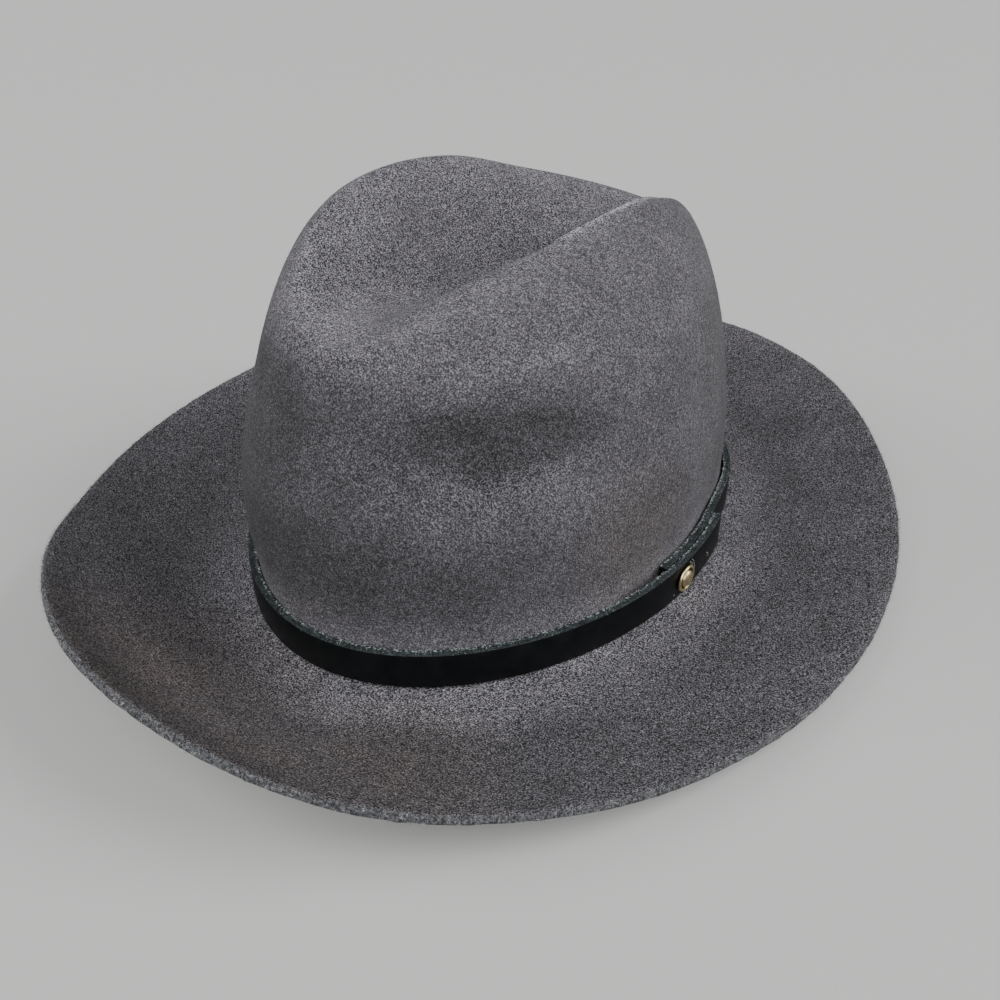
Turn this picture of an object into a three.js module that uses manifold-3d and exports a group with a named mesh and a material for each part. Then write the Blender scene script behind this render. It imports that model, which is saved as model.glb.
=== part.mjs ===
// Floppy brim fedora: a crown and brim blocked from one piece of felt, a leather strap that
// runs round the crown and laps over itself, and the two halves of the rivet in the lap.
//
// Millimetres, +Z up. The origin is on the surface that the hat rests on, below the middle
// of the head opening. The hat's front faces -Y and the wearer's left is +X.
// A bearing is an angle seen from above, in degrees: 0 is the wearer's left, 90 the back,
// 180 the wearer's right and 270 the front.

import * as THREE from 'three';
import { mergeVertices } from 'three/addons/utils/BufferGeometryUtils.js';
import Module from 'manifold-3d';

// Head opening and felt
const HEAD_LENGTH = 212; // inside the felt, front to back
const HEAD_WIDTH = 157; // inside the felt, side to side
const OVAL_DIAGONAL_LOSS = 0.014; // how far the oval falls inside a true ellipse, as a share
const FELT = 2.6; // thickness of the blocked felt
const CROWN_HEIGHT = 121; // highest ridge above the brim's top face
const BRIM_WIDTH = 67; // crown wall to the cut edge, seen from above
const REST_WIDTH = 9; // flat ring beside the break that lies on the surface
const BREAK_RADIUS = 0.9; // inside corner where the crown meets the brim

// Strap
const BAND_WIDTH = 12.7;
const BAND_THICKNESS = 2.8;
const BAND_GAP = 0.45; // strap to felt where the strap lies close
const LAP_GAP = 0.35; // between the two layers of the lap
const LAP_START = -12; // bearing of the inner end
const LAP_END = 10; // bearing of the outer end
const LAP_RAMP = 22; // degrees over which the felt and the inner end sink in to the lap
const PRESS_FADE = 34; // height above the strap over which the felt swells out again
const DENT_FADE = 16; // height above the strap over which the wall's dents begin

// Rivet
const RIVET_BEARING = -8;
const RIVET_DIAMETER = 10;
const RIM_WIDTH = 1.3; // flat rim round the head
const GROOVE_WIDTH = 0.9;
const GROOVE_DEPTH = 0.5;
const HEAD_THICKNESS = 1.1; // head's edge
const EDGE_CHAMFER = { in: 0.35, down: 0.3 }; // softened corner of the rim
const DOME_RISE = 1; // middle of the dome above the rim
const POST_DIAMETER = 2.6;
const FLANGE_DIAMETER = 7.6;
const FLANGE_THICKNESS = 0.7;
const SEAT_GAP = 0.3; // between the rivet and what it holds

// Mesh
const BEARING_STEPS = 84;
const STRAP_STEP = 3.75; // degrees
const RIVET_SIDES = 28;
const TURN_STEP = 0.4; // degrees, and
const SHARE_STEP = 0.01; // share of a stretch, over which the felt's slope is taken

// The crease's middle, from the middle of the head opening, as shares of half the head's
// width and length, and its floor as a share of the crown's height.
const CREASE = { across: -0.13, along: 0.05, floor: 0.725 };
const FOLD_CURVE = 1.7; // power of the climb from the crease's floor to a sharp ridge

// One row for each section of the crown, from the crease's middle to the wall.
//   reach   where the ridge stands between the two, as a share
//   height  the ridge's height, as a share of the crown's height
//   crisp   1 for a sharp fold, 0 for a round one
//   brow    power of the curve that leaves the ridge: a high one stays level for longer
//   wall    power of the curve that meets the brim: a high one stays upright for longer
const CROWN_SECTIONS = [
  { bearing: 0, reach: 0.47, height: 0.99, crisp: 1, brow: 1.85, wall: 2.5 },
  { bearing: 22, reach: 0.57, height: 1.005, crisp: 0.9, brow: 1.85, wall: 2.05 },
  { bearing: 42, reach: 0.68, height: 0.955, crisp: 0.5, brow: 1.85, wall: 2 },
  { bearing: 66, reach: 0.76, height: 0.865, crisp: 0.1, brow: 1.9, wall: 2.15 },
  { bearing: 92, reach: 0.76, height: 0.87, crisp: 0, brow: 1.9, wall: 2.4 },
  { bearing: 120, reach: 0.74, height: 0.92, crisp: 0, brow: 1.9, wall: 2.4 },
  { bearing: 146, reach: 0.71, height: 0.99, crisp: 0.2, brow: 1.9, wall: 2.4 },
  { bearing: 176, reach: 0.7, height: 1, crisp: 0.3, brow: 1.9, wall: 2.3 },
  { bearing: 204, reach: 0.7, height: 0.955, crisp: 0.2, brow: 1.8, wall: 2.25 },
  { bearing: 233, reach: 0.74, height: 0.835, crisp: 0.2, brow: 1.8, wall: 2.3 },
  { bearing: 263, reach: 0.68, height: 0.82, crisp: 0.2, brow: 1.9, wall: 2.3 },
  { bearing: 288, reach: 0.58, height: 0.89, crisp: 0.3, brow: 2, wall: 2.5 },
  { bearing: 308, reach: 0.48, height: 0.93, crisp: 0.7, brow: 1.9, wall: 2.6 },
  { bearing: 334, reach: 0.44, height: 0.96, crisp: 1, brow: 1.9, wall: 2.6 },
];

// Soft dents (out below 0) and swells (out above 0) of the crown's wall.
//   height, tall  middle and half height, as shares of the crown's height
//   wide          half width in degrees
//   out           as a share of half the head's width
const WALL_DENTS = [
  { name: 'front pinch', bearing: 260, height: 0.64, tall: 0.17, wide: 34, out: -0.05 },
  { name: 'front pinch, left end', bearing: 286, height: 0.74, tall: 0.13, wide: 24, out: -0.04 },
  { name: 'left hollow', bearing: 308, height: 0.61, tall: 0.18, wide: 48, out: -0.11 },
  { name: 'left swell', bearing: 311, height: 0.44, tall: 0.2, wide: 32, out: 0.04 },
  { name: 'left fold, crest', bearing: 352, height: 0.5, tall: 0.34, wide: 9, out: 0.012 },
  { name: 'left fold, groove', bearing: 1, height: 0.52, tall: 0.3, wide: 8, out: -0.016 },
  { name: 'right front swell', bearing: 213, height: 0.3, tall: 0.36, wide: 55, out: 0.05 },
  { name: 'right hollow', bearing: 165, height: 0.6, tall: 0.24, wide: 36, out: -0.02 },
];

// The brim's cut edge. reach is its distance from the wall seen from above, rise its height
// above the brim's root, both as shares of the brim's width.
const BRIM_SECTIONS = [
  { bearing: 0, reach: 0.985, rise: 0.083 },
  { bearing: 30, reach: 0.99, rise: 0.149 },
  { bearing: 60, reach: 1, rise: 0.277 },
  { bearing: 90, reach: 1, rise: 0.291 },
  { bearing: 120, reach: 1, rise: 0.242 },
  { bearing: 150, reach: 1, rise: 0.268 },
  { bearing: 180, reach: 0.985, rise: 0.24 },
  { bearing: 210, reach: 0.985, rise: 0.27 },
  { bearing: 222, reach: 0.972, rise: 0.328 },
  { bearing: 236, reach: 0.982, rise: 0.425 },
  { bearing: 254, reach: 0.974, rise: 0.487 },
  { bearing: 270, reach: 0.964, rise: 0.468 },
  { bearing: 286, reach: 0.998, rise: 0.35 },
  { bearing: 300, reach: 0.99, rise: 0.24 },
  { bearing: 330, reach: 0.985, rise: 0.115 },
];
const BRIM_CURL = 1.6; // power of the brim's rise from its root to its edge

// How far the strap stands off the felt beyond BAND_GAP, as a share of its thickness.
const BAND_STANDOFF = [
  { bearing: 0, off: 0 },
  { bearing: 35, off: 0.2 },
  { bearing: 90, off: 0.05 },
  { bearing: 180, off: 0 },
  { bearing: 212, off: 0.1 },
  { bearing: 250, off: 0.05 },
  { bearing: 320, off: 0 },
];

const FELT_LOOK = { color: 0x4d4a49, roughness: 0.95, metalness: 0 };
const LEATHER_LOOK = { color: 0x0f1112, roughness: 0.42, metalness: 0 };
const BRASS_LOOK = { color: 0xa98a55, roughness: 0.35, metalness: 1 };

const TURN = 360;
const radians = THREE.MathUtils.degToRad;
const brimTop = FELT;
const lapStep = BAND_THICKNESS + LAP_GAP;
const feltPress = lapStep + SEAT_GAP + FLANGE_THICKNESS + SEAT_GAP - BAND_GAP;
const strapLow = BREAK_RADIUS; // above the brim's top face, clear of the inside corner
const strapTop = strapLow + BAND_WIDTH;

// Small curves

function wrap(angle) {
  return ((angle % TURN) + TURN) % TURN;
}

// Smooth closed curve through one column of a table whose rows go round by bearing
function around(rows, column, bearing) {
  const at = wrap(bearing);
  const count = rows.length;
  let index = rows.findIndex((row) => row.bearing > at) - 1;
  if (index < 0) {
    index = at >= rows[0].bearing ? count - 1 : -1;
  }
  const row = (step) => {
    const place = index + step;
    const laps = Math.floor(place / count);
    const source = rows[place - laps * count];
    return { at: source.bearing + laps * TURN, value: source[column] };
  };
  const [before, start, end, after] = [row(-1), row(0), row(1), row(2)];
  const here = at < start.at ? at + TURN : at;
  const span = end.at - start.at;
  const t = (here - start.at) / span;
  const slopeStart = ((end.value - before.value) / (end.at - before.at)) * span;
  const slopeEnd = ((after.value - start.value) / (after.at - start.at)) * span;
  const t2 = t * t;
  const t3 = t2 * t;
  return (
    (2 * t3 - 3 * t2 + 1) * start.value +
    (t3 - 2 * t2 + t) * slopeStart +
    (3 * t2 - 2 * t3) * end.value +
    (t3 - t2) * slopeEnd
  );
}

// 1 in the middle, falling smoothly to 0 at one half width
function swell(distance, halfWidth) {
  const share = Math.min(1, Math.abs(distance) / halfWidth);
  return (1 - share * share) ** 2;
}

function turnBetween(from, to) {
  return wrap(to - from + TURN / 2) - TURN / 2;
}

// Plan of the hat

function headOval(bearing) {
  const angle = radians(bearing);
  const kept = 1 - OVAL_DIAGONAL_LOSS * Math.sin(2 * angle) ** 2;
  return new THREE.Vector2(
    (HEAD_WIDTH / 2) * kept * Math.cos(angle),
    (HEAD_LENGTH / 2) * kept * Math.sin(angle),
  );
}

function outward(bearing) {
  const step = 0.5;
  const along = headOval(bearing + step).sub(headOval(bearing - step));
  return new THREE.Vector2(along.y, -along.x).normalize();
}

// Point of the plan that lies a distance outside the head opening
function ovalPoint(bearing, distance) {
  return headOval(bearing).addScaledVector(outward(bearing), distance);
}

// 1 along the lap, easing to 0 on both sides of it
function alongLap(bearing) {
  const middle = (LAP_START + LAP_END) / 2;
  const half = (LAP_END - LAP_START) / 2;
  const beyond = Math.abs(turnBetween(middle, bearing)) - half;
  return 1 - THREE.MathUtils.smoothstep(beyond, 0, LAP_RAMP);
}

// The same for felt that gives way under the lap. yields is 1 where it gives way in full.
function feltPoint(bearing, distance, yields) {
  return ovalPoint(bearing, distance - feltPress * yields * alongLap(bearing));
}

// The felt's upper face, from the crease's middle to the brim's cut edge

// How far the dents push the wall out, at a height above the brim's top face. The strap holds
// the felt, so none reaches below the strap's top.
function dentAt(bearing, height) {
  let out = 0;
  for (const dent of WALL_DENTS) {
    const sideways = swell(turnBetween(dent.bearing, bearing), dent.wide);
    const upright = swell(height / CROWN_HEIGHT - dent.height, dent.tall);
    out += dent.out * sideways * upright;
  }
  const freed = THREE.MathUtils.smoothstep(height, strapTop, strapTop + DENT_FADE);
  return (out * freed * HEAD_WIDTH) / 2;
}

function sectionAt(bearing) {
  const section = {};
  for (const column of ['reach', 'height', 'crisp', 'brow', 'wall']) {
    section[column] = around(CROWN_SECTIONS, column, bearing);
  }
  return section;
}

function creaseMiddle() {
  return new THREE.Vector2((CREASE.across * HEAD_WIDTH) / 2, (CREASE.along * HEAD_LENGTH) / 2);
}

// share runs from 0 at the crease's middle to 1 at the ridge
function creasePoint(bearing, share) {
  const section = sectionAt(bearing);
  const plan = creaseMiddle().lerp(ovalPoint(bearing, FELT), section.reach * share);
  const round = Math.sin((Math.PI / 2) * share) ** 2;
  const folded = share ** FOLD_CURVE;
  const climb = THREE.MathUtils.lerp(round, folded, section.crisp);
  const height = THREE.MathUtils.lerp(CREASE.floor, section.height, climb);
  return new THREE.Vector3(plan.x, plan.y, brimTop + height * CROWN_HEIGHT);
}

// share runs from 0 at the ridge to 1 at the strap's top
function wallPoint(bearing, share) {
  const section = sectionAt(bearing);
  const angle = (Math.PI / 2) * share;
  const spread = Math.sin(angle) ** (2 / section.brow);
  const fall = Math.max(0, Math.cos(angle)) ** (2 / section.wall);
  const reach = THREE.MathUtils.lerp(section.reach, 1, spread);
  const height = strapTop + (section.height * CROWN_HEIGHT - strapTop) * fall;
  const yields = 1 - THREE.MathUtils.smoothstep(height, strapTop, strapTop + PRESS_FADE);
  const plan = creaseMiddle().lerp(feltPoint(bearing, FELT, yields), reach);
  plan.addScaledVector(outward(bearing), dentAt(bearing, height));
  return new THREE.Vector3(plan.x, plan.y, brimTop + height);
}

// Straight wall behind the strap. share runs from 0 at the strap's top to 1 at the break.
function cuffPoint(bearing, share) {
  const plan = feltPoint(bearing, FELT, 1);
  return new THREE.Vector3(plan.x, plan.y, brimTop + THREE.MathUtils.lerp(strapTop, BREAK_RADIUS, share));
}

// share runs from 0 at the foot of the wall to 1 at the brim's root
function breakPoint(bearing, share) {
  const angle = (Math.PI / 2) * share;
  const plan = feltPoint(bearing, FELT + BREAK_RADIUS * (1 - Math.cos(angle)), 1);
  return new THREE.Vector3(plan.x, plan.y, brimTop + BREAK_RADIUS * (1 - Math.sin(angle)));
}

// share runs from 0 at the brim's root to 1 at its cut edge
function brimPoint(bearing, share) {
  const edge = around(BRIM_SECTIONS, 'reach', bearing) * BRIM_WIDTH;
  const out = THREE.MathUtils.lerp(BREAK_RADIUS, edge, share);
  const plan = feltPoint(bearing, FELT + out, 1 - share);
  const free = Math.max(0, (out - REST_WIDTH) / (edge - REST_WIDTH));
  const rise = around(BRIM_SECTIONS, 'rise', bearing) * BRIM_WIDTH * free ** BRIM_CURL;
  return new THREE.Vector3(plan.x, plan.y, brimTop + rise);
}

// The stretches follow each other from the crease to the edge. outside and inside list the
// shares that carry a ring of the mesh on either face; the first ring of each stretch but
// the first is the last ring of the one before.
const STRETCHES = [
  {
    point: creasePoint,
    outside: [0.16, 0.32, 0.48, 0.64, 0.78, 0.9, 1],
    inside: [0.32, 0.64, 0.9, 1],
  },
  {
    point: wallPoint,
    outside: [0.1, 0.2, 0.32, 0.44, 0.55, 0.66, 0.76, 0.85, 0.93, 1],
    inside: [0.1, 0.2, 0.44, 0.66, 0.85, 1],
  },
  { point: cuffPoint, outside: [1], inside: [1] },
  { point: breakPoint, outside: [0.5, 1], inside: [0.5, 1] },
  {
    point: brimPoint,
    outside: [0.1, 0.22, 0.35, 0.48, 0.61, 0.74, 0.87, 1],
    inside: [0.1, 0.35, 0.61, 0.87, 1],
  },
];

// Unit vector that points out of the felt's upper face, from two short steps along it. No
// step starts at the crease's middle, where every bearing gives the same point.
function faceNormal(point, bearing, share) {
  const [low, high] = [Math.max(SHARE_STEP / 10, share - SHARE_STEP), Math.min(1, share + SHARE_STEP)];
  const along = point(bearing, high).sub(point(bearing, low));
  const sideways = point(bearing + TURN_STEP, share).sub(point(bearing - TURN_STEP, share));
  return along.cross(sideways).normalize();
}

function underside(point, bearing, share) {
  const under = point(bearing, share).addScaledVector(faceNormal(point, bearing, share), -FELT);
  under.z = Math.max(0, under.z);
  return under;
}

// Meshes

function geometryFrom(points, faces) {
  const geometry = new THREE.BufferGeometry();
  const positions = new Float32Array(points.flatMap((point) => point.toArray()));
  geometry.setAttribute('position', new THREE.BufferAttribute(positions, 3));
  geometry.setIndex(faces.flat());
  geometry.computeVertexNormals();
  return geometry;
}

function feltBody() {
  const bearings = Array.from({ length: BEARING_STEPS }, (_, step) => (step * TURN) / BEARING_STEPS);
  const rings = [];
  for (const stretch of STRETCHES) {
    for (const share of stretch.outside) {
      rings.push(bearings.map((bearing) => stretch.point(bearing, share)));
    }
  }
  for (const stretch of [...STRETCHES].reverse()) {
    for (const share of [...stretch.inside].reverse()) {
      rings.push(bearings.map((bearing) => underside(stretch.point, bearing, share)));
    }
  }
  const top = creasePoint(0, 0);
  const points = [...rings.flat(), top, top.clone().setZ(top.z - FELT)];
  const [topIndex, underIndex] = [points.length - 2, points.length - 1];
  const faces = [];
  const lastRing = (rings.length - 1) * BEARING_STEPS;
  for (let step = 0; step < BEARING_STEPS; step += 1) {
    const next = (step + 1) % BEARING_STEPS;
    faces.push([topIndex, step, next]);
    faces.push([underIndex, lastRing + next, lastRing + step]);
    for (let ring = 0; ring + 1 < rings.length; ring += 1) {
      const [inner, outer] = [ring * BEARING_STEPS, (ring + 1) * BEARING_STEPS];
      faces.push([inner + step, outer + step, outer + next]);
      faces.push([inner + step, outer + next, inner + next]);
    }
  }
  return geometryFrom(points, faces);
}

// turned counts degrees from the strap's inner end to its outer end, a full turn and the lap
// further on. out counts from the strap's inner face, up from its lower edge.
function strapPoint(turned, out, up) {
  const bearing = LAP_START + turned;
  const standoff = around(BAND_STANDOFF, 'off', bearing) * (1 - alongLap(bearing)) * BAND_THICKNESS;
  const sunk = turned < TURN / 2 ? lapStep * alongLap(bearing) : 0;
  const plan = ovalPoint(bearing, FELT + BAND_GAP + standoff - sunk + out);
  return new THREE.Vector3(plan.x, plan.y, brimTop + strapLow + up);
}

function strapSolid() {
  const length = TURN + LAP_END - LAP_START;
  const steps = Math.round(length / STRAP_STEP);
  const corners = [
    [0, 0],
    [BAND_THICKNESS, 0],
    [BAND_THICKNESS, BAND_WIDTH],
    [0, BAND_WIDTH],
  ];
  const points = [];
  const faces = [];
  for (let step = 0; step <= steps; step += 1) {
    const turned = (length * step) / steps;
    points.push(...corners.map(([out, up]) => strapPoint(turned, out, up)));
  }
  for (let step = 0; step < steps; step += 1) {
    for (let side = 0; side < 4; side += 1) {
      const [here, beside] = [step * 4 + side, step * 4 + ((side + 1) % 4)];
      faces.push([here, beside + 4, beside]);
      faces.push([here, here + 4, beside + 4]);
    }
  }
  const end = steps * 4;
  faces.push([0, 1, 2], [0, 2, 3]);
  faces.push([end, end + 2, end + 1], [end, end + 3, end + 2]);
  return geometryFrom(points, faces);
}

// Booleans

const wasm = await Module();
wasm.setup();

function toSolid(geometry) {
  const bare = geometry.clone();
  bare.deleteAttribute('normal');
  bare.deleteAttribute('uv');
  const merged = mergeVertices(bare, 1e-3);
  const mesh = new wasm.Mesh({
    numProp: 3,
    vertProperties: new Float32Array(merged.attributes.position.array),
    triVerts: new Uint32Array(merged.index.array),
  });
  return new wasm.Manifold(mesh);
}

function toGeometry(solid) {
  const mesh = solid.getMesh();
  const geometry = new THREE.BufferGeometry();
  geometry.setAttribute('position', new THREE.BufferAttribute(new Float32Array(mesh.vertProperties), 3));
  geometry.setIndex(new THREE.BufferAttribute(new Uint32Array(mesh.triVerts), 1));
  geometry.computeVertexNormals();
  return geometry;
}

// The rivet's own frame: +Y is its axis and points out of the hat, 0 is the outer face of
// the lap. The frame stands at the rivet's bearing, half way up the strap.
const rivetTurned = TURN + RIVET_BEARING - LAP_START;
const rivetBack = -(2 * BAND_THICKNESS + LAP_GAP);

function rivetFrame() {
  const place = strapPoint(rivetTurned, BAND_THICKNESS, BAND_WIDTH / 2);
  const normal = outward(RIVET_BEARING);
  const turn = new THREE.Quaternion().setFromUnitVectors(
    new THREE.Vector3(0, 1, 0),
    new THREE.Vector3(normal.x, normal.y, 0),
  );
  return { place, turn };
}

function placeOnStrap(mesh) {
  const { place, turn } = rivetFrame();
  mesh.position.copy(place);
  mesh.quaternion.copy(turn);
  return mesh;
}

function lathe(profile) {
  const points = profile.map(([radius, along]) => new THREE.Vector2(radius, along));
  return new THREE.LatheGeometry(points, RIVET_SIDES);
}

function rivetCap() {
  const edge = RIVET_DIAMETER / 2;
  const front = SEAT_GAP + HEAD_THICKNESS;
  const domeRadius = edge - RIM_WIDTH - GROOVE_WIDTH;
  const socket = POST_DIAMETER / 2 + SEAT_GAP;
  const socketTop = front - GROOVE_DEPTH;
  const profile = [
    [0, socketTop],
    [socket, socketTop],
    [socket, SEAT_GAP],
    [edge, SEAT_GAP],
    [edge, front - EDGE_CHAMFER.down],
    [edge - EDGE_CHAMFER.in, front],
    [edge - RIM_WIDTH, front],
    [edge - RIM_WIDTH - GROOVE_WIDTH / 2, front - GROOVE_DEPTH],
  ];
  const domeSteps = 4;
  for (let step = 0; step <= domeSteps; step += 1) {
    const angle = (Math.PI / 2) * (step / domeSteps);
    profile.push([domeRadius * Math.cos(angle), front + DOME_RISE * Math.sin(angle)]);
  }
  return lathe(profile);
}

function rivetPost() {
  const flange = rivetBack - SEAT_GAP;
  const tip = HEAD_THICKNESS - GROOVE_DEPTH;
  return lathe([
    [0, flange - FLANGE_THICKNESS],
    [FLANGE_DIAMETER / 2, flange - FLANGE_THICKNESS],
    [FLANGE_DIAMETER / 2, flange],
    [POST_DIAMETER / 2, flange],
    [POST_DIAMETER / 2, tip],
    [0, tip],
  ]);
}

function strapWithHole() {
  const { place, turn } = rivetFrame();
  const drill = new THREE.CylinderGeometry(
    POST_DIAMETER / 2 + SEAT_GAP,
    POST_DIAMETER / 2 + SEAT_GAP,
    4 * BAND_THICKNESS + 2 * LAP_GAP,
    RIVET_SIDES,
  );
  drill.translate(0, rivetBack / 2, 0);
  drill.applyQuaternion(turn);
  drill.translate(place.x, place.y, place.z);
  return toGeometry(toSolid(strapSolid()).subtract(toSolid(drill)));
}

// The hat

function part(name, geometry, look) {
  const mesh = new THREE.Mesh(geometry, new THREE.MeshStandardMaterial(look));
  mesh.name = name;
  return mesh;
}

const hat = new THREE.Group();
hat.add(part('felt_body', feltBody(), FELT_LOOK));
hat.add(part('hat_band', strapWithHole(), LEATHER_LOOK));
hat.add(placeOnStrap(part('rivet_cap', rivetCap(), BRASS_LOOK)));
hat.add(placeOnStrap(part('rivet_post', rivetPost(), BRASS_LOOK)));

export default hat;
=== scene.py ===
import math

import bmesh
import bpy
import numpy as np
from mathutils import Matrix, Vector, noise
from mathutils.bvhtree import BVHTree


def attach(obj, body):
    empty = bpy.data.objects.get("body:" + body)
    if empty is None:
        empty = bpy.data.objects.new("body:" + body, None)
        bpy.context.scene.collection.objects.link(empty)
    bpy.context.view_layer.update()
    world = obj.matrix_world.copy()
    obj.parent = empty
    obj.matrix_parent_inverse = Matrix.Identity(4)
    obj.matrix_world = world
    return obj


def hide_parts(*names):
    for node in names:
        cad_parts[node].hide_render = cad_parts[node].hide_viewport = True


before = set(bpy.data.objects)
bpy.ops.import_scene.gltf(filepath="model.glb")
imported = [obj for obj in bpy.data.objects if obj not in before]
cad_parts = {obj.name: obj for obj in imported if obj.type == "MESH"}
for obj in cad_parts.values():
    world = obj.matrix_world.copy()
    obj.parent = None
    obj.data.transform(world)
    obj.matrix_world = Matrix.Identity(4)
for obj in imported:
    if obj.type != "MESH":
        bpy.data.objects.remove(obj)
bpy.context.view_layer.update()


def rgb(red, green, blue):
    return (red, green, blue, 1.0)


# Sizes are in metres and angles in degrees. Bearings count from the wearer's left, 90 at the
# back, 180 on the right and 270 at the front. A pair is where a smooth step starts and ends,
# and four heights are where a band begins, is full, starts to fade and has gone.

# Camera, fitted to the photograph
CAMERA_PLACE = (0.17306, -0.2832, 0.2238)
CAMERA_DIP = 33.46
CAMERA_TURN = 31.6
CAMERA_LENS = 36.0
SENSOR_WIDTH = 36.0
CAMERA_REACH = (0.01, 50.0)

# Material numbers of a piece: its face and its raw cut edges
FACE = 0
CUT = 1

# Felt's mesh
SAME_POINT = 0.00002
QUAD_ANGLE = 50.0
SHARP_EDGE = 55.0
CUT_EDGE_CREASE = 0.75
SUBDIVISION = 2
LUMP_HEIGHT = 0.00025
LUMP_SIZE = 0.034
LUMP_SHIFT = 3.0
CUT_ROUGHNESS = 0.0003
CUT_GRAIN = 0.0028
CUT_SHIFT = 8.0
RESTING_FADE = 0.003

# Painted light on the felt beside the strap, where the strap and the crown shade it
BESIDE_STRAP_BEARING = 310.0
BESIDE_STRAP_REACH = (0.002, 0.032)
BESIDE_STRAP_LEAST = 0.45
BESIDE_STRAP_PAINTED_LIGHT = 0.85
BESIDE_STRAP_WALL = (0.016, 0.03)
BESIDE_STRAP_WALL_LOSS = 0.78

# Painted light on the brim away from the strap, with painted shade towards one bearing
BRIM_BEARING = 290.0
BRIM_REACH = (0.02, 0.045)
BRIM_PAINTED_LIGHT = 0.26
BRIM_PAINTED_SHADE = 0.15
BRIM_FOCUS = 4

# Painted light on the top of the crown: in the crease, on the roof beside it and on the crease's
# floor
CROWN_TOP_HEIGHT = (0.085, 0.101)
CREASE_LIGHT_OUTWARD = (0.1, 0.42)
CREASE_PAINTED_LIGHT = 0.46
ROOF_OUTWARD = (0.3, 0.6)
ROOF_PAINTED_LIGHT = 0.03
PINCH_BEARING = 235.0
PINCH_SHIFT = 0.62
PINCH_FOCUS = 5
CREASE_FLOOR_LEVEL = (0.8, 0.97)
CREASE_FLOOR_BACK = (0.0, 0.022)
CREASE_FLOOR_HEIGHTS = (0.087, 0.091, 0.098, 0.104)
CREASE_FLOOR_PAINTED_LIGHT = 0.56

# Painted shade on the wall of the crown, and painted light on the swells on it, with painted shade
# in its hollows
WALL_FOCUS = 2
WALL_BEARING = 255.0
WALL_HEIGHTS = (0.018, 0.034, 0.087, 0.099)
WALL_PAINTED_SHADE = -0.35
LOW_WALL_BEARING = 280.0
LOW_WALL_HEIGHTS = (0.022, 0.032, 0.046, 0.06)
LOW_WALL_PAINTED_SHADE = -0.17
SWELL_BEARING = 315.0
SWELL_STEPS = 60
SWELL_PROUD = 0.0009
SWELL_PAINTED_LIGHT = 0.46
HOLLOW_SHADE_LIMIT = -0.12

# Rubbed ridges, lighter partly from wear and partly as a painted highlight
RIDGE_HEIGHTS = (0.09, 0.105)
RIDGE_STEPS = 10
RIDGE_PROUD = (0.00055, 0.0011)

# Salt and pepper specks: stronger where the felt lies flat, but not on the roof
LYING_LEVEL = (0.4, 0.85)
LYING_SPECKS = 1.6
SMOOTH_TOP = 0.9
SMOOTH_TOP_HEIGHT = (0.092, 0.104)
SMOOTH_TOP_OUTWARD = (0.05, 0.35)

# Felt's colours, and the sizes and swings of its grains
FELT_GREY = rgb(0.0785, 0.0750, 0.0825)
FELT_BROWN = rgb(0.079, 0.068, 0.064)
# Colour of the ridges, partly rubbed wear and partly a painted highlight
FELT_RUBBED_AND_HIGHLIT = rgb(0.165, 0.162, 0.175)
FELT_SHEEN = rgb(0.8, 0.78, 0.8)
CUT_DARK = rgb(0.036, 0.036, 0.040)
CUT_PALE = rgb(0.160, 0.162, 0.172)
NAP_SIZE = 0.00048
TUFT_SIZE = 0.0015
TUFT_SWING = 0.3
MOTTLE_SIZE = 0.017
MOTTLE_SWING = 0.14
BROAD_SIZE = 0.055
BROAD_SWING = 0.08
DARK_SPECK = -0.55
PALE_SPECK = 1.35
NAP_DEPTH = 0.0003

# Brown tinges of the felt: middle, reach and strength
BROWN_CORE = 0.01
BROWN_PATCHES = (
    ((-0.03, -0.17, 0.012), 0.078, 1.0),
    ((0.02, -0.175, 0.008), 0.06, 0.9),
    ((0.05, -0.142, 0.006), 0.045, 0.75),
    ((0.0745, -0.036, 0.034), 0.034, 0.55),
)

# Strap
STRAP_BEVEL = 0.0003
BEVEL_ANGLE = 50.0
RAW_NORMAL = 0.7
FLESHY_INWARD = 0.35
LEATHER_DARK = rgb(0.0022, 0.0028, 0.0030)
LEATHER_WORN = rgb(0.0060, 0.0068, 0.0072)
RAW_DARK = rgb(0.012, 0.016, 0.017)
RAW_PALE = rgb(0.052, 0.064, 0.068)
FLUFF_WHITE = rgb(0.46, 0.52, 0.51)

# Fibres: how many, their usual length and its least and greatest share, their width, how far
# the tip drifts aside, how they lean (along the normal, upwards and at random), the least
# that they stand out along the normal, and their colours
SEED = 61
FIBRE_WIDTH = 0.00008
FIBRE_MIDDLE = 0.55
FIBRE_TIP = 0.9
FIBRE_TAPER = 0.7
EDGE_FUZZ = {
    "count": 9000,
    "length": 0.0011,
    "shares": (0.4, 1.4),
    "width": FIBRE_WIDTH,
    "bend": 0.4,
    "lean": (1.0, 0.0, 0.8),
    "least_out": None,
    "dark": rgb(0.07, 0.07, 0.075),
    "pale": rgb(0.55, 0.55, 0.57),
}
NAP = {
    "count": 19000,
    "length": 0.0012,
    "shares": (0.4, 1.3),
    "width": FIBRE_WIDTH * 0.8,
    "bend": 0.35,
    "lean": (0.6, 0.0, 0.9),
    "least_out": 0.25,
    "dark": rgb(0.06, 0.058, 0.062),
    "pale": rgb(0.36, 0.355, 0.37),
}
STRAP_FUZZ = {
    "count": 2600,
    "length": 0.0007,
    "shares": (0.3, 1.3),
    "width": FIBRE_WIDTH * 0.8,
    "bend": 0.4,
    "lean": (0.5, 0.5, 0.8),
    "least_out": None,
    "dark": rgb(0.2, 0.24, 0.23),
    "pale": rgb(0.8, 0.85, 0.83),
}

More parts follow.
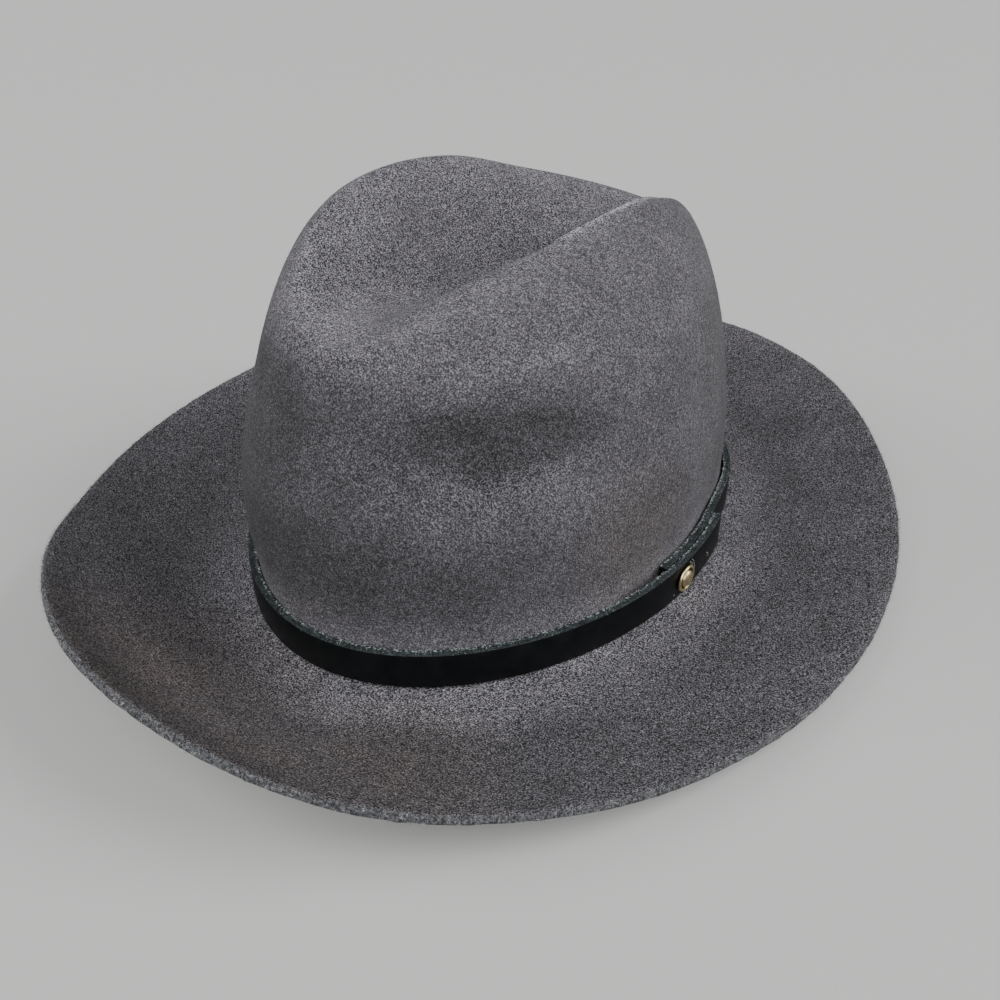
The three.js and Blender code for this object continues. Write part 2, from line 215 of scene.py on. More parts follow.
# Where fibres grow: the cut edge's upper part has more, the nap has none underneath or near
# the surface the hat rests on, and the strap's have a dense inner corner in broken clumps
CUT_UPPER = 0.1
CUT_UPPER_MORE = 2.0
NAP_SIDEWAYS = 0.8
NAP_OUTWARD = 0.15
NAP_CLEAR = 0.0035
STRAP_UPWARD = 0.3
STRAP_INWARD = 0.1
STRAP_CORNER = -0.25
STRAP_CORNER_WEIGHT = 12.0
STRAP_FACE_WEIGHT = 0.15
STRAP_CLUMP = 0.006
STRAP_CLUMP_LEAST = 0.1
STRAP_CLUMP_LEVELS = (-0.3, 0.4)

# Rivet
BRASS_BRIGHT = rgb(0.95, 0.80, 0.47)
BRASS_DULL = rgb(0.74, 0.57, 0.28)
BRASS_TARNISH = rgb(0.025, 0.018, 0.010)
RIVET_SEGMENTS = 96

# The head's profile from the rim's foot to the dome's top: share of the radius,
# share of the height, tarnish
RIVET_PROFILE = (
    (0.93, 0.0, 0.8),
    (0.985, 0.06, 0.7),
    (1.0, 0.16, 0.4),
    (0.995, 0.3, 0.1),
    (0.965, 0.44, 0.0),
    (0.92, 0.52, 0.0),
    (0.87, 0.53, 0.0),
    (0.82, 0.48, 0.0),
    (0.785, 0.38, 0.6),
    (0.755, 0.27, 1.0),
    (0.72, 0.22, 1.0),
    (0.68, 0.25, 1.0),
    (0.655, 0.36, 0.7),
    (0.63, 0.52, 0.2),
    (0.57, 0.68, 0.0),
    (0.47, 0.82, 0.0),
    (0.34, 0.92, 0.0),
    (0.18, 0.98, 0.0),
)

# Lint threads: start beside and above the rivet's middle, length, curl, drop and width
LINT_DARK = rgb(0.2, 0.22, 0.2)
LINT_PALE = rgb(0.62, 0.65, 0.62)
THREAD_STEPS = 14
THREAD_SIDES = 4
THREAD_LIFT = 0.00012
THREAD_ARCH = 3.0
LINT_THREADS = (
    (0.0022, 0.0058, 0.0046, 2.4, 1.2, 0.00014),
    (0.0036, 0.0060, 0.0040, -2.0, 1.0, 0.00013),
    (0.0028, 0.0044, 0.0030, 1.8, 0.9, 0.00012),
    (-0.0078, -0.0030, 0.0006, 0.5, 0.0, 0.00016),
    (0.0145, 0.0026, 0.0007, 0.5, 0.6, 0.00018),
    (0.0152, 0.0008, 0.0006, 0.5, -0.6, 0.00016),
)

# Floor
FLOOR_RADIUS = 6.0
FLOOR_SEGMENTS = 64
FLOOR_GREY = rgb(0.62, 0.62, 0.61)

# Light: name by where it comes from as seen by the camera, turn from the hat's front towards
# the wearer's left, rise above the floor and strength
SUN_WIDTH = 38.0
SUNS = (
    ("right", 120.0, 35.0, 1.85),
    ("front", 30.0, 35.0, 1.65),
    ("left", 300.0, 35.0, 0.95),
    ("high_front", 0.0, 60.0, 0.5),
    ("high_right", 60.0, 60.0, 0.4),
)
WORLD_COLOUR = rgb(0.95, 0.97, 1.0)
WORLD_STRENGTH = 0.12


def linked(name, data):
    piece = bpy.data.objects.new(name, data)
    bpy.context.scene.collection.objects.link(piece)
    return piece


def make_camera():
    data = bpy.data.cameras.new("photo_camera")
    data.lens = CAMERA_LENS
    data.sensor_width = SENSOR_WIDTH
    data.clip_start, data.clip_end = CAMERA_REACH
    camera = linked("photo_camera", data)
    camera.location = CAMERA_PLACE
    camera.rotation_euler = (math.radians(90.0 - CAMERA_DIP), 0.0, math.radians(CAMERA_TURN))
    bpy.context.scene.camera = camera


make_camera()


# Node materials
class Recipe:
    """One node material: each call adds a node and returns the socket that it gives."""

    def __init__(self, name, **shader):
        self.material = bpy.data.materials.new(name)
        self.material.use_nodes = True
        self.tree = self.material.node_tree
        self.shader = self.tree.nodes["Principled BSDF"]
        for socket, value in shader.items():
            self.shader.inputs[socket.replace("_", " ")].default_value = value
        self.place = self.node("ShaderNodeTexCoord").outputs["Object"]

    def node(self, kind, **settings):
        made = self.tree.nodes.new(kind)
        for setting, value in settings.items():
            setattr(made, setting, value)
        return made

    def feed(self, socket, value):
        if isinstance(value, bpy.types.NodeSocket):
            self.tree.links.new(value, socket)
        else:
            socket.default_value = value

    def noise(self, size, detail=2.0, roughness=0.5, distortion=0.0):
        made = self.node("ShaderNodeTexNoise")
        self.feed(made.inputs["Vector"], self.place)
        made.inputs["Scale"].default_value = 1.0 / size
        made.inputs["Detail"].default_value = detail
        made.inputs["Roughness"].default_value = roughness
        made.inputs["Distortion"].default_value = distortion
        return made.outputs["Fac"]

    def spread(self, value, low, high, to_low=0.0, to_high=1.0, smooth=False):
        """The value's stretch from low to high, laid out from to_low to to_high."""
        made = self.node("ShaderNodeMapRange")
        made.interpolation_type = "SMOOTHSTEP" if smooth else "LINEAR"
        self.feed(made.inputs["Value"], value)
        for socket, number in (
            ("From Min", low),
            ("From Max", high),
            ("To Min", to_low),
            ("To Max", to_high),
        ):
            made.inputs[socket].default_value = number
        return made.outputs["Result"]

    def math(self, operation, first, second):
        made = self.node("ShaderNodeMath", operation=operation)
        self.feed(made.inputs[0], first)
        self.feed(made.inputs[1], second)
        return made.outputs["Value"]

    def mix(self, amount, first, second):
        """From the first colour to the second, which a colour mix takes at inputs 6 and 7."""
        made = self.node("ShaderNodeMix", data_type="RGBA", blend_type="MIX")
        self.feed(made.inputs["Factor"], amount)
        self.feed(made.inputs[6], first)
        self.feed(made.inputs[7], second)
        return made.outputs[2]

    def brighter(self, colour, factor):
        made = self.node("ShaderNodeVectorMath", operation="SCALE")
        self.feed(made.inputs[0], colour)
        self.feed(made.inputs["Scale"], factor)
        return made.outputs["Vector"]

    def near(self, centre, inner, outer):
        """One within inner metres of the centre, and nothing beyond outer."""
        made = self.node("ShaderNodeVectorMath", operation="DISTANCE")
        self.feed(made.inputs[0], self.place)
        made.inputs[1].default_value = centre
        return self.spread(made.outputs["Value"], inner, outer, 1.0, 0.0, True)

    def attribute(self, name):
        return self.node("ShaderNodeAttribute", attribute_name=name).outputs["Fac"]

    def bump(self, height, distance, strength=1.0, under=None):
        made = self.node("ShaderNodeBump")
        self.feed(made.inputs["Height"], height)
        made.inputs["Distance"].default_value = distance
        made.inputs["Strength"].default_value = strength
        if under is not None:
            self.feed(made.inputs["Normal"], under)
        return made.outputs["Normal"]

    def colour(self, value):
        self.feed(self.shader.inputs["Base Color"], value)

    def roughness(self, value):
        self.feed(self.shader.inputs["Roughness"], value)

    def normal(self, value):
        self.feed(self.shader.inputs["Normal"], value)


def felt_material():
    recipe = Recipe(
        "grey_wool_felt",
        Roughness=0.95,
        Specular_IOR_Level=0.2,
        Sheen_Weight=0.06,
        Sheen_Roughness=0.45,
        Sheen_Tint=FELT_SHEEN,
    )
    nap = recipe.noise(NAP_SIZE, detail=1.0, roughness=0.7)
    tufts = recipe.noise(TUFT_SIZE, detail=2.0, roughness=0.6)
    mottle = recipe.noise(MOTTLE_SIZE, detail=3.0, roughness=0.55, distortion=0.4)
    broad = recipe.noise(BROAD_SIZE, detail=2.0, roughness=0.5)
    patches = 0.0
    for centre, reach, strength in BROWN_PATCHES:
        patch = recipe.math("MULTIPLY", recipe.near(centre, BROWN_CORE, reach), strength)
        patches = recipe.math("MAXIMUM", patches, patch)
    brown = recipe.math("MULTIPLY", patches, recipe.spread(mottle, 0.35, 0.65, 0.6, 1.0))
    base = recipe.mix(brown, FELT_GREY, FELT_BROWN)
    # Ridges lighter, partly from rubbing and partly as a painted highlight
    base = recipe.mix(recipe.attribute("rubbed_and_highlit"), base, FELT_RUBBED_AND_HIGHLIT)
    # The tone attribute holds the painted light and shade of the felt
    shade = recipe.attribute("tone")
    specks = recipe.math(
        "MULTIPLY",
        recipe.spread(nap, 0.42, 0.75, DARK_SPECK, PALE_SPECK),
        recipe.spread(recipe.attribute("lying"), 0.0, 1.0, 1.0, LYING_SPECKS),
    )
    shade = recipe.math("MULTIPLY", shade, recipe.math("ADD", specks, 1.0))
    for grain, swing in ((tufts, TUFT_SWING), (mottle, MOTTLE_SWING), (broad, BROAD_SWING)):
        grey = recipe.spread(grain, 0.3, 0.7, 1.0 - swing, 1.0 + swing)
        shade = recipe.math("MULTIPLY", shade, grey)
    recipe.colour(recipe.brighter(base, shade))
    under = recipe.bump(tufts, NAP_DEPTH, 0.5)
    recipe.normal(recipe.bump(nap, NAP_DEPTH, 0.9, under))
    return recipe.material


def cut_felt_material():
    recipe = Recipe("raw_cut_felt", Roughness=0.95, Specular_IOR_Level=0.2)
    grain = recipe.noise(0.0008, detail=2.0, roughness=0.75)
    clumps = recipe.noise(0.004, detail=2.0, roughness=0.6)
    base = recipe.mix(recipe.spread(grain, 0.4, 0.66), CUT_DARK, CUT_PALE)
    recipe.colour(recipe.brighter(base, recipe.spread(clumps, 0.3, 0.7, 0.75, 1.25)))
    recipe.normal(recipe.bump(grain, 0.0006, 1.0))
    return recipe.material


def fibre_material(name, dark, pale):
    recipe = Recipe(name, Roughness=0.8, Specular_IOR_Level=0.3)
    tone = recipe.noise(0.0011, detail=1.0, roughness=0.5)
    recipe.colour(recipe.mix(recipe.spread(tone, 0.4, 0.62), dark, pale))
    return recipe.material


def leather_material():
    recipe = Recipe("black_strap_leather", Specular_IOR_Level=0.22)
    grain = recipe.noise(0.0009, detail=3.0, roughness=0.6)
    wear = recipe.noise(0.012, detail=3.0, roughness=0.6, distortion=0.5)
    recipe.colour(recipe.mix(recipe.spread(wear, 0.35, 0.7), LEATHER_DARK, LEATHER_WORN))
    recipe.roughness(recipe.spread(wear, 0.3, 0.7, 0.36, 0.5))
    recipe.normal(recipe.bump(grain, 0.00012, 0.35))
    return recipe.material


def raw_leather_material():
    recipe = Recipe("raw_cut_leather", Roughness=0.7, Specular_IOR_Level=0.3)
    grain = recipe.noise(0.0007, detail=2.0, roughness=0.7)
    streaks = recipe.noise(0.003, detail=2.0, roughness=0.6)
    base = recipe.mix(recipe.spread(grain, 0.4, 0.7), RAW_DARK, RAW_PALE)
    base = recipe.brighter(base, recipe.spread(streaks, 0.3, 0.7, 0.5, 1.5))
    fluff = recipe.math(
        "MULTIPLY",
        recipe.spread(recipe.attribute("fleshy"), 0.55, 0.95, smooth=True),
        recipe.spread(recipe.noise(0.0008, detail=2.0, roughness=0.6), 0.5, 0.64),
    )
    recipe.colour(recipe.mix(fluff, base, FLUFF_WHITE))
    recipe.normal(recipe.bump(grain, 0.0004, 0.7))
    return recipe.material


def brass_material():
    recipe = Recipe("antique_brass", Metallic=1.0)
    patina = recipe.noise(0.0012, detail=3.0, roughness=0.6)
    scratches = recipe.noise(0.0004, detail=2.0, roughness=0.6)
    base = recipe.mix(recipe.spread(patina, 0.4, 0.7), BRASS_BRIGHT, BRASS_DULL)
    recipe.colour(recipe.mix(recipe.attribute("tarnish"), base, BRASS_TARNISH))
    recipe.roughness(recipe.spread(scratches, 0.3, 0.7, 0.26, 0.44))
    recipe.normal(recipe.bump(patina, 0.00004, 0.4))
    return recipe.material


# Mesh helpers
def copy_of(node):
    """A bmesh of a CAD node with its points joined and its triangles paired into quads."""
    made = bmesh.new()
    made.from_mesh(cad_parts[node].data)
    bmesh.ops.remove_doubles(made, verts=made.verts[:], dist=SAME_POINT)
    bmesh.ops.dissolve_degenerate(made, dist=SAME_POINT / 4.0, edges=made.edges[:])
    bmesh.ops.join_triangles(
        made,
        faces=made.faces[:],
        angle_face_threshold=math.radians(QUAD_ANGLE),
        angle_shape_threshold=math.radians(QUAD_ANGLE),
    )
    bmesh.ops.recalc_face_normals(made, faces=made.faces[:])
    made.normal_update()
    return made


def mesh_from(made, name, *materials):
    mesh = bpy.data.meshes.new(name)
    for material in materials:
        mesh.materials.append(material)
    made.to_mesh(mesh)
    made.free()
    mesh.shade_smooth()
    return mesh


def settled(piece):
    """The piece's mesh with its modifiers applied."""
    graph = bpy.context.evaluated_depsgraph_get()
    mesh = bpy.data.meshes.new_from_object(piece.evaluated_get(graph))
    piece.modifiers.clear()
    piece.data = mesh
    return mesh


def points_of(mesh):
    values = np.empty(len(mesh.vertices) * 3, np.float32)
    mesh.vertices.foreach_get("co", values)
    return values.reshape(-1, 3).astype(float)


def normals_of(mesh):
    values = np.empty(len(mesh.vertices) * 3, np.float32)
    mesh.vertex_normals.foreach_get("vector", values)
    return values.reshape(-1, 3).astype(float)


def set_points(mesh, points):
    mesh.vertices.foreach_set("co", points.astype(np.float32).ravel())
    mesh.update()


def store(mesh, name, values):
    made = mesh.attributes.new(name, "FLOAT", "POINT")
    made.data.foreach_set("value", np.asarray(values, np.float32))


def noise_at(points, size, offset=0.0):
    shift = Vector((offset, offset * 1.7, offset * 0.6))
    return np.array([noise.noise(Vector(point) / size + shift) for point in points])


def unit(vectors):
    return vectors / np.maximum(np.linalg.norm(vectors, axis=1), 1e-12)[:, None]


def outwardness(points, normals):
    """One where a face looks away from the hat's middle, and below zero towards it."""
    return (normals * unit(points * [1.0, 1.0, 0.0])).sum(axis=1)


def smooth_step(values, low, high):
    share = np.clip((values - low) / (high - low), 0.0, 1.0)
    return share * share * (3.0 - 2.0 * share)


def band(values, begins, full, fades, gone):
    """One between full and fades, and nothing before it begins and once it has gone."""
    return smooth_step(values, begins, full) * (1.0 - smooth_step(values, fades, gone))


def dressed(piece, slot, *nodes):
    """Hides the CAD nodes that the piece stands for and lets it ride on the hat; the slot is not
    used.
    """
    if nodes:
        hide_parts(*nodes)
    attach(piece, "root")
    return piece


# Felt
def edge_ends(mesh):
    ends = np.empty(len(mesh.edges) * 2, np.int32)
    mesh.edges.foreach_get("vertices", ends)
    return ends.reshape(-1, 2)


def proud(mesh, points, normals, steps):
    """How far each point stands out of the felt around it; more steps look wider around."""
    ends = edge_ends(mesh)
    here = ends.ravel()
    there = ends[:, ::-1].ravel()
    number = np.bincount(here, minlength=len(points))[:, None]
    smooth = points
    for _ in range(steps):
        columns = [np.bincount(here, smooth[there, axis], len(points)) for axis in range(3)]
        smooth = np.stack(columns, axis=1) / number
    return ((points - smooth) * normals).sum(axis=1)


def cut_points(mesh):
    """One for each point of the cut edge, and nothing elsewhere."""
    cut = np.zeros(len(mesh.vertices))
    for face in mesh.polygons:
        if face.material_index == CUT:
            cut[list(face.vertices)] = 1.0
    return cut


def towards(turn, bearing):
    """One where the turn is the bearing, and nothing on the other side of the hat."""
    return 0.5 + 0.5 * np.cos(np.radians(turn - bearing))


def distance_to_strap(points):
    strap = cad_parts["hat_band"].data
    tree = BVHTree.FromPolygons(
        [vertex.co for vertex in strap.vertices],
        [face.vertices for face in strap.polygons],
    )
    return np.array([tree.find_nearest(Vector(point))[3] for point in points])


def felt_painted_light_and_shade(mesh, points, normals):
    """How much painted light and shade lighten or darken the nap at each point."""
    far = distance_to_strap(points)
    height = points[:, 2]
    turn = np.degrees(np.arctan2(points[:, 1], points[:, 0]))
    # Painted light beside the strap, strongest towards one bearing and less up the wall
    facing = BESIDE_STRAP_LEAST + (1.0 - BESIDE_STRAP_LEAST) * towards(turn, BESIDE_STRAP_BEARING)
    beside_strap_light = (1.0 - smooth_step(far, *BESIDE_STRAP_REACH)) * facing
    beside_strap_light = beside_strap_light * (1.0 - BESIDE_STRAP_WALL_LOSS * smooth_step(height, *BESIDE_STRAP_WALL))
    # Painted light on the brim away from the strap, with painted shade towards one bearing
    brim = smooth_step(far, *BRIM_REACH) * (height < WALL_HEIGHTS[1])
    brim_light_and_shade = BRIM_PAINTED_LIGHT - BRIM_PAINTED_SHADE * towards(turn, BRIM_BEARING) ** BRIM_FOCUS
    # Painted light on the crown's top: in the crease, on the roof and on the crease's floor
    top = smooth_step(height, *CROWN_TOP_HEIGHT)
    pinch = towards(turn, PINCH_BEARING) ** PINCH_FOCUS
    pinched = outwardness(points, normals) - PINCH_SHIFT * pinch
    crease_light = top * (1.0 - smooth_step(pinched, *CREASE_LIGHT_OUTWARD))
    roof = top * smooth_step(pinched, *ROOF_OUTWARD)
    crease_floor_light = smooth_step(normals[:, 2], *CREASE_FLOOR_LEVEL)
    crease_floor_light = crease_floor_light * (1.0 - smooth_step(points[:, 1], *CREASE_FLOOR_BACK))
    crease_floor_light = crease_floor_light * band(height, *CREASE_FLOOR_HEIGHTS)
    # Painted shade on the wall, painted light on its swells and painted shade in its hollows
    wall = band(height, *WALL_HEIGHTS)
    low_wall = band(height, *LOW_WALL_HEIGHTS)
    swell = np.clip(proud(mesh, points, normals, SWELL_STEPS) / SWELL_PROUD, HOLLOW_SHADE_LIMIT, 1.0)
    swell = swell * smooth_step(height, *WALL_HEIGHTS[:2])
    swell_side = towards(turn, SWELL_BEARING) ** WALL_FOCUS
    return (
        1.0
        + BESIDE_STRAP_PAINTED_LIGHT * beside_strap_light
        + brim_light_and_shade * brim
        + CREASE_PAINTED_LIGHT * crease_light
        + ROOF_PAINTED_LIGHT * roof
        + CREASE_FLOOR_PAINTED_LIGHT * crease_floor_light
        + WALL_PAINTED_SHADE * wall * towards(turn, WALL_BEARING) ** WALL_FOCUS
        + LOW_WALL_PAINTED_SHADE * low_wall * towards(turn, LOW_WALL_BEARING) ** WALL_FOCUS
        + SWELL_PAINTED_LIGHT * swell * (top + (1.0 - top) * swell_side)
    )


def felt_piece():
    made = copy_of("felt_body")
    crease = made.edges.layers.float.new("crease_edge")
    sharp = set()
    for edge in made.edges:
        if len(edge.link_faces) == 2 and edge.calc_face_angle() > math.radians(SHARP_EDGE):
            edge[crease] = CUT_EDGE_CREASE
            sharp.add(edge)
    for face in made.faces:
        face.material_index = CUT if sum(edge in sharp for edge in face.edges) > 1 else FACE
    piece = linked("felt_hat", mesh_from(made, "felt_hat", felt_material(), cut_felt_material()))
    smooth = piece.modifiers.new("smooth", "SUBSURF")
    smooth.levels = SUBDIVISION
    smooth.render_levels = SUBDIVISION
    mesh = settled(piece)
    points = points_of(mesh)
    normals = normals_of(mesh)
    height = points[:, 2]
    # Proud ridges on the top: partly rubbed wear, partly a painted highlight
    ridge = smooth_step(proud(mesh, points, normals, RIDGE_STEPS), *RIDGE_PROUD)
    store(mesh, "rubbed_and_highlit", ridge * smooth_step(height, *RIDGE_HEIGHTS))
    # Painted light and shade of the felt, stored as its tone
    store(mesh, "tone", felt_painted_light_and_shade(mesh, points, normals))
    lying = smooth_step(np.abs(normals[:, 2]), *LYING_LEVEL)
    fine = SMOOTH_TOP * smooth_step(height, *SMOOTH_TOP_HEIGHT)
    fine = fine * smooth_step(outwardness(points, normals), *SMOOTH_TOP_OUTWARD)
    store(mesh, "lying", lying * (1.0 - fine))
    lumps = noise_at(points, LUMP_SIZE, LUMP_SHIFT) * LUMP_HEIGHT
    rough = noise_at(points, CUT_GRAIN, CUT_SHIFT) * CUT_ROUGHNESS * cut_points(mesh)
    raised = np.clip(height / RESTING_FADE, 0.0, 1.0)
    set_points(mesh, points + normals * ((lumps + rough) * raised)[:, None])
    mesh.shade_smooth()
    return dressed(piece, "felt", "felt_body")


felt = felt_piece()


# Strap
def strap_piece():
    made = copy_of("hat_band")
    for face in made.faces:
        face.material_index = CUT if abs(face.normal.z) > RAW_NORMAL else FACE
    mesh = mesh_from(made, "leather_strap", leather_material(), raw_leather_material())
    piece = linked("leather_strap", mesh)
    bevel = piece.modifiers.new("edges", "BEVEL")
    bevel.width = STRAP_BEVEL
    bevel.segments = 2
    bevel.limit_method = "ANGLE"
    bevel.angle_limit = math.radians(BEVEL_ANGLE)
    mesh = settled(piece)
    fleshy = np.zeros(len(mesh.vertices))
    for face in mesh.polygons:
        middle = face.center
        outward = face.normal.x * middle.x + face.normal.y * middle.y
        if outward < -FLESHY_INWARD * middle.xy.length:
            fleshy[list(face.vertices)] = 1.0
    store(mesh, "fleshy", fleshy)
    mesh.shade_smooth()
    return dressed(piece, "strap_leather", "hat_band")


strap = strap_piece()


# Fibres
def scatter(mesh, count, random, weigh):
    """Random points and normals on the mesh's triangles, drawn by area times weigh."""
    mesh.calc_loop_triangles()
    corners = np.array([tri.vertices for tri in mesh.loop_triangles])
    faces = np.array([tri.polygon_index for tri in mesh.loop_triangles])
    points = points_of(mesh)[corners]
    cross = np.cross(points[:, 1] - points[:, 0], points[:, 2] - points[:, 0])
    area = np.linalg.norm(cross, axis=1)
    normals = cross / np.maximum(area, 1e-15)[:, None]
    kinds = np.empty(len(mesh.polygons), np.int32)
    mesh.polygons.foreach_get("material_index", kinds)
    weight = area * weigh(points.mean(axis=1), normals, kinds[faces])
    chosen = random.choice(len(area), count, p=weight / weight.sum())
    u, v = random.random(count), random.random(count)
    over = u + v > 1.0
    u[over], v[over] = 1.0 - u[over], 1.0 - v[over]
    first, second, third = (points[chosen, corner] for corner in range(3))
    spots = first + (second - first) * u[:, None] + (third - first) * v[:, None]
    return spots, normals[chosen]


def fibre_mesh(name, spots, directions, lengths, width, bend, random):
    """Closed three-sided hairs, bent in the middle, that stand on the spots."""
    count = len(spots)
    directions = unit(directions)
    side = unit(np.cross(directions, unit(random.normal(size=(count, 3)))))
    other = np.cross(directions, side)
    drift = side * random.normal(size=(count, 1)) + other * random.normal(size=(count, 1))
    roots = spots - directions * width
    middles = spots + directions * (lengths * FIBRE_MIDDLE)[:, None]
    tips = spots + directions * (lengths * FIBRE_TIP)[:, None]
    tips = tips + drift * (lengths * bend)[:, None]
    rows = []
    for centre, share in ((roots, 1.0), (middles, FIBRE_TAPER)):
        for turn in range(3):
            angle = 2.0 * math.pi * turn / 3.0
            around = side * math.cos(angle) + other * math.sin(angle)
            rows.append(centre + around * width * share / 2.0)
    rows.append(tips)
    points = np.stack(rows, axis=1).reshape(-1, 3)
    pattern = [(2, 1, 0)]
    for turn in range(3):
        after = (turn + 1) % 3
        pattern.append((turn, after, after + 3, turn + 3))
        pattern.append((turn + 3, after + 3, 6))
    faces = [
        tuple(7 * fibre + corner for corner in face)
        for fibre in range(count)
        for face in pattern
    ]
    mesh = bpy.data.meshes.new(name)
    mesh.from_pydata(points.tolist(), [], faces)
    return mesh


def on_cut(middles, normals, kinds):
    return (kinds == CUT) * (1.0 + CUT_UPPER_MORE * (normals[:, 2] > CUT_UPPER))


def on_nap(middles, normals, kinds):
    outward = normals[:, 2] + NAP_SIDEWAYS * outwardness(middles, normals)
    return (kinds == FACE) * (outward > NAP_OUTWARD) * (middles[:, 2] > NAP_CLEAR)


def on_strap_edge(middles, normals, kinds):
    inward = outwardness(middles, normals)
    clumps = smooth_step(noise_at(middles, STRAP_CLUMP), *STRAP_CLUMP_LEVELS)
    corner = np.where(inward < STRAP_CORNER, STRAP_CORNER_WEIGHT, STRAP_FACE_WEIGHT)
    edge = (normals[:, 2] > STRAP_UPWARD) * (inward < STRAP_INWARD)
    return edge * corner * (STRAP_CLUMP_LEAST + clumps)


def fibre_piece(name, material, slot, carrier, weigh, kind, random):
    spots, normals = scatter(carrier.data, kind["count"], random, weigh)
    lengths = kind["length"] * random.uniform(*kind["shares"], kind["count"])
    along, upwards, stray = kind["lean"]
    leaning = normals * along + [0.0, 0.0, upwards] + stray * random.normal(size=normals.shape)
    if kind["least_out"] is not None:
        out = (leaning * normals).sum(axis=1)
        leaning -= normals * np.minimum(0.0, out - kind["least_out"])[:, None]
    mesh = fibre_mesh(name, spots, leaning, lengths, kind["width"], kind["bend"], random)
    mesh.materials.append(fibre_material(material, kind["dark"], kind["pale"]))
    dressed(linked(name, mesh), slot)


def add_fibres():
    random = np.random.default_rng(SEED)
    fibre_piece("brim_edge_fuzz", "cut_felt_fibre", "felt", felt, on_cut, EDGE_FUZZ, random)
    fibre_piece("felt_nap", "nap_fibre", "felt", felt, on_nap, NAP, random)
    fibre_piece(
        "strap_edge_fuzz", "leather_fibre", "strap_leather", strap, on_strap_edge, STRAP_FUZZ, random
    )


add_fibres()

# Rivet
brass = brass_material()
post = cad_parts["rivet_post"]
post.data.materials.clear()
post.data.materials.append(brass)


def rivet_frame():
    """The cap's middle, outward axis, radius and lowest and highest point along the axis."""
    points = points_of(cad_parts["rivet_cap"].data)
    middle = points.mean(axis=0)
    _, _, axes = np.linalg.svd(points - middle, full_matrices=False)
    axis = axes[2]
    if axis[:2] @ middle[:2] < 0.0:
        axis = -axis
    along = (points - middle) @ axis
    radius = np.linalg.norm(points - middle - along[:, None] * axis, axis=1).max()
    return Vector(middle), Vector(axis), radius, along.min(), along.max()


def rivet_piece():
    middle, axis, radius, foot, top = rivet_frame()
    turn = axis.to_track_quat("Z", "Y").to_matrix()
    height = top - foot
    made = bmesh.new()
    tarnish = []
    rings = []
    for share, rise, dark in RIVET_PROFILE:
        ring = []
        for step in range(RIVET_SEGMENTS):
            angle = 2.0 * math.pi * step / RIVET_SEGMENTS
            local = Vector(
                (
                    radius * share * math.cos(angle),
                    radius * share * math.sin(angle),
                    foot + height * rise,
                )
            )
            ring.append(made.verts.new(middle + turn @ local))
            tarnish.append(dark)
        rings.append(ring)
    for inner, outer in zip(rings[1:], rings[:-1]):
        for step in range(RIVET_SEGMENTS):
            after = (step + 1) % RIVET_SEGMENTS
            made.faces.new((outer[step], outer[after], inner[after], inner[step]))
    peak = made.verts.new(middle + turn @ Vector((0.0, 0.0, foot + height)))
    tarnish.append(0.0)
    for step in range(RIVET_SEGMENTS):
        after = (step + 1) % RIVET_SEGMENTS
        made.faces.new((rings[-1][step], rings[-1][after], peak))
    made.faces.new(reversed(rings[0]))
    mesh = mesh_from(made, "rivet_head", brass)
    store(mesh, "tarnish", tarnish)
    dressed(linked("rivet_head", mesh), "rivet_brass", "rivet_cap")


rivet_piece()


# Lint that clings to the strap by the rivet
def thread_points(start, along, up, out, length, curl, drop):
    """A curved line from start, as places along it."""
    places = []
    for step in range(THREAD_STEPS + 1):
        share = step / THREAD_STEPS
        sideways = math.sin(curl * share) / curl * length
        rise = (1.0 - math.cos(curl * share)) / curl * length - drop * share * length
        lift = THREAD_LIFT * (1.0 + THREAD_ARCH * math.sin(math.pi * share))
        places.append(start + along * sideways + up * rise + out * lift)
    return places


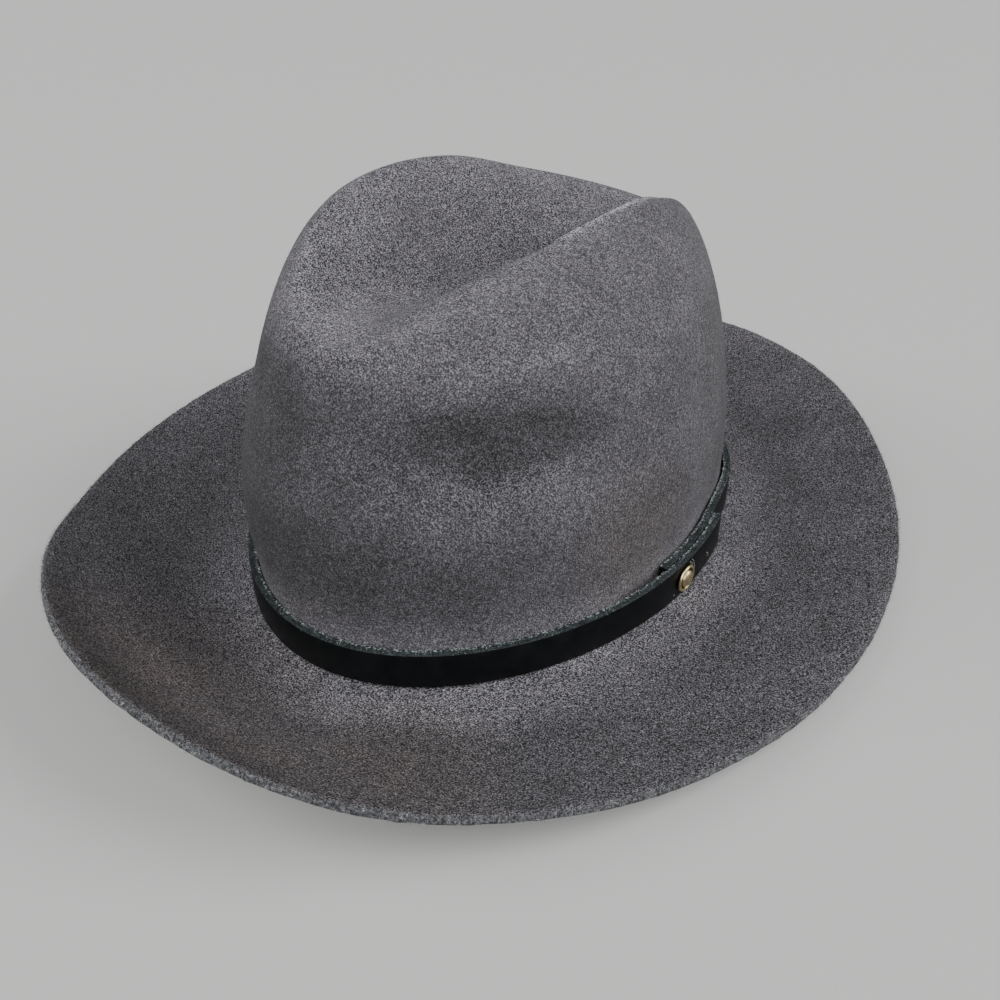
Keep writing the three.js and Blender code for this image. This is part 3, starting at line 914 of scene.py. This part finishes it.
def tube(made, places, width):
    """A closed thin tube through the places."""
    rings = []
    for step, place in enumerate(places):
        ahead = places[min(step + 1, len(places) - 1)] - places[max(step - 1, 0)]
        turn = ahead.to_track_quat("Z", "Y").to_matrix()
        ring = []
        for corner in range(THREAD_SIDES):
            angle = 2.0 * math.pi * corner / THREAD_SIDES
            around = turn @ Vector((math.cos(angle), math.sin(angle), 0.0))
            ring.append(made.verts.new(place + around * width / 2.0))
        rings.append(ring)
    for lower, upper in zip(rings[:-1], rings[1:]):
        for corner in range(THREAD_SIDES):
            after = (corner + 1) % THREAD_SIDES
            made.faces.new((lower[corner], lower[after], upper[after], upper[corner]))
    made.faces.new(reversed(rings[0]))
    made.faces.new(rings[-1])


def lint_piece():
    middle, axis, _, foot, _ = rivet_frame()
    up = Vector((0.0, 0.0, 1.0))
    up = (up - axis * up.dot(axis)).normalized()
    along = up.cross(axis).normalized()
    on_face = middle + axis * foot
    made = bmesh.new()
    for side, rise, length, curl, drop, width in LINT_THREADS:
        start = on_face + along * side + up * rise
        tube(made, thread_points(start, along, up, axis, length, curl, drop), width)
    mesh = mesh_from(made, "strap_lint", fibre_material("lint", LINT_DARK, LINT_PALE))
    dressed(linked("strap_lint", mesh), "strap_leather")


lint_piece()


# Floor and light
def make_floor():
    made = bmesh.new()
    bmesh.ops.create_circle(made, cap_ends=True, segments=FLOOR_SEGMENTS, radius=FLOOR_RADIUS)
    recipe = Recipe("pale_floor", Roughness=0.7, Specular_IOR_Level=0.2)
    recipe.colour(FLOOR_GREY)
    linked("pale_floor", mesh_from(made, "pale_floor", recipe.material))


def soft_sun(name, turn, rise, strength):
    """A wide, even light from a turn round the hat and a rise above the floor."""
    turn = math.radians(turn)
    rise = math.radians(rise)
    level = math.cos(rise)
    away = Vector((math.sin(turn) * level, -math.cos(turn) * level, math.sin(rise)))
    data = bpy.data.lights.new(name, "SUN")
    data.energy = strength
    data.angle = math.radians(SUN_WIDTH)
    light = linked(name, data)
    light.rotation_euler = (-away).to_track_quat("-Z", "Y").to_euler()


def make_light():
    world = bpy.data.worlds.new("pale_studio")
    world.use_nodes = True
    background = world.node_tree.nodes["Background"]
    background.inputs["Color"].default_value = WORLD_COLOUR
    background.inputs["Strength"].default_value = WORLD_STRENGTH
    bpy.context.scene.world = world
    for sun in SUNS:
        soft_sun(*sun)


make_floor()
make_light()
